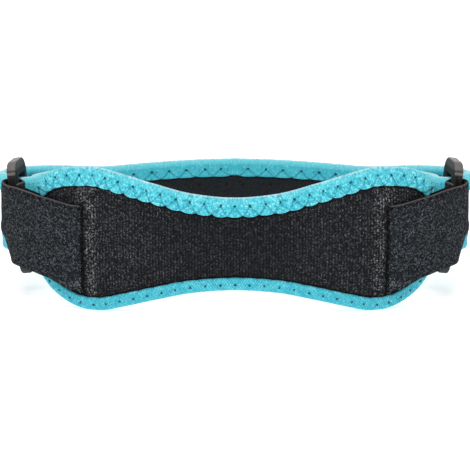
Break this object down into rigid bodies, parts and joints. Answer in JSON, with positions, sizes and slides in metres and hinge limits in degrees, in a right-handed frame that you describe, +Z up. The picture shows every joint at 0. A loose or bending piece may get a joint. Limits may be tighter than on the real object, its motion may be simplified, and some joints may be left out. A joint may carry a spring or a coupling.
{
  "type": "patella strap",
  "caption": "Knee strap with a padded, bound front, a bound back band, and hook-and-loop straps round plastic rings at both sides.",
  "frame": {"origin": "centre of the loop's footprint, on the surface that it stands on", "axes": "+X to the side along the loop's width, -Y out of the padded front, +Z up along the knee"},
  "size_m": [0.2124, 0.0913, 0.062],
  "materials": {
    "pad_knit": "black ribbed knit over foam",
    "binding_knit": "turquoise stretch knit, zigzag stitched",
    "band_cloth": "black smooth knit on foam rubber",
    "strap_pile": "black looped pile tape",
    "ring_plastic": "satin moulded plastic"
  },
  "bodies": {
    "root": {"front_pad": "pad_knit", "front_binding": "binding_knit", "back_band": "band_cloth", "back_binding": "binding_knit", "left_strap": "strap_pile", "right_strap": "strap_pile", "left_ring": "ring_plastic", "right_ring": "ring_plastic"}
  },
  "joints": []
}
